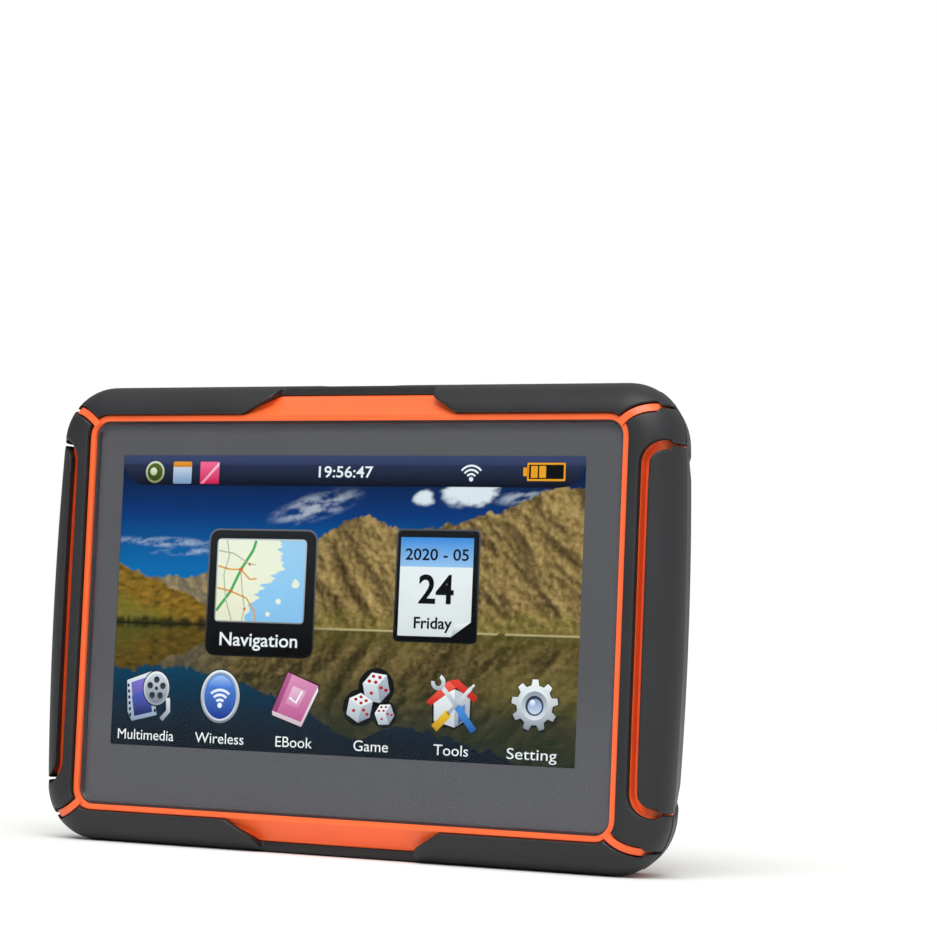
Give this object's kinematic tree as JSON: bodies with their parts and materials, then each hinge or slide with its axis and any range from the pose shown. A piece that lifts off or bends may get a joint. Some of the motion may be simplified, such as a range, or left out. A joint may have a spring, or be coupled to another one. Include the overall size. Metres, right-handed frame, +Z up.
{
  "type": "handheld gps unit",
  "caption": "Rugged handheld GPS navigator: touch screen in an orange case with black rubber bumpers, power button, port cover, charging contacts and a threaded insert on the back.",
  "frame": {"origin": "middle of the footprint, at the lowest point of the bottom bumper with the unit standing upright on its long lower edge", "axes": "+X to the right of the screen, +Y out of the back (the screen faces -Y), +Z up along the short side of the screen"},
  "size_m": [0.128, 0.0216, 0.085],
  "materials": {
    "orange_plastic": "moulded, fine satin grain",
    "black_rubber": "soft matt overmould",
    "rear_cover": "soft-touch matt",
    "front_glass": "polished, tinted border behind",
    "display": "glossy polariser over the picture",
    "steel": "stamped and plated",
    "dark_steel": "blackened screws",
    "brass": "turned",
    "gold_contacts": "gold flashed",
    "circuit_board": "solder mask",
    "flex_film": "polyimide film",
    "seal": "moulded",
    "ceramic": "fired, silvered patch",
    "battery_foil": "laminated pouch",
    "mesh": "woven acoustic mesh",
    "plug_grey": "soft plugs",
    "socket_plastic": "moulded",
    "lead": "insulated wire"
  },
  "bodies": {
    "case": {"front_housing": "orange_plastic", "rear_housing": "orange_plastic", "bumper_top": "black_rubber", "bumper_bottom": "black_rubber", "side_pad_left": "black_rubber", "side_pad_right": "black_rubber", "end_pad_left": "black_rubber", "end_pad_right": "black_rubber", "rear_pad_top": "black_rubber", "rear_pad_bottom": "black_rubber", "rear_panel": "rear_cover", "touch_glass": "front_glass", "glass_seal": "seal", "case_seal": "seal", "display": "display", "display_plate": "steel", "display_flex": "flex_film", "display_socket": "socket_plastic", "case_screws": "dark_steel", "screw_plugs": "plug_grey", "mount_insert": "brass", "contact_pins": "gold_contacts", "contact_board": "circuit_board", "speaker": "steel", "speaker_mesh": "mesh", "main_board": "circuit_board", "board_screws": "steel", "processor_shield": "steel", "receiver_shield": "steel", "antenna": "ceramic", "battery": "battery_foil", "battery_leads": "lead", "battery_socket": "socket_plastic", "usb_socket": "steel", "power_switch": "socket_plastic"},
    "button": {"power_button": "orange_plastic"},
    "cover": {"port_cover": "black_rubber"}
  },
  "joints": [
    {"name": "power_press", "type": "slide", "parent": "case", "child": "button", "axis": [0, 0, -1], "range_m": [0, 0.0006], "stiffness_N_per_m": 3000},
    {"name": "port_flap", "type": "hinge", "parent": "case", "child": "cover", "pos_m": [-0.0398, -0.0024, 0.08435], "axis": [1, 0, 0], "range_deg": [0, 100]}
  ]
}
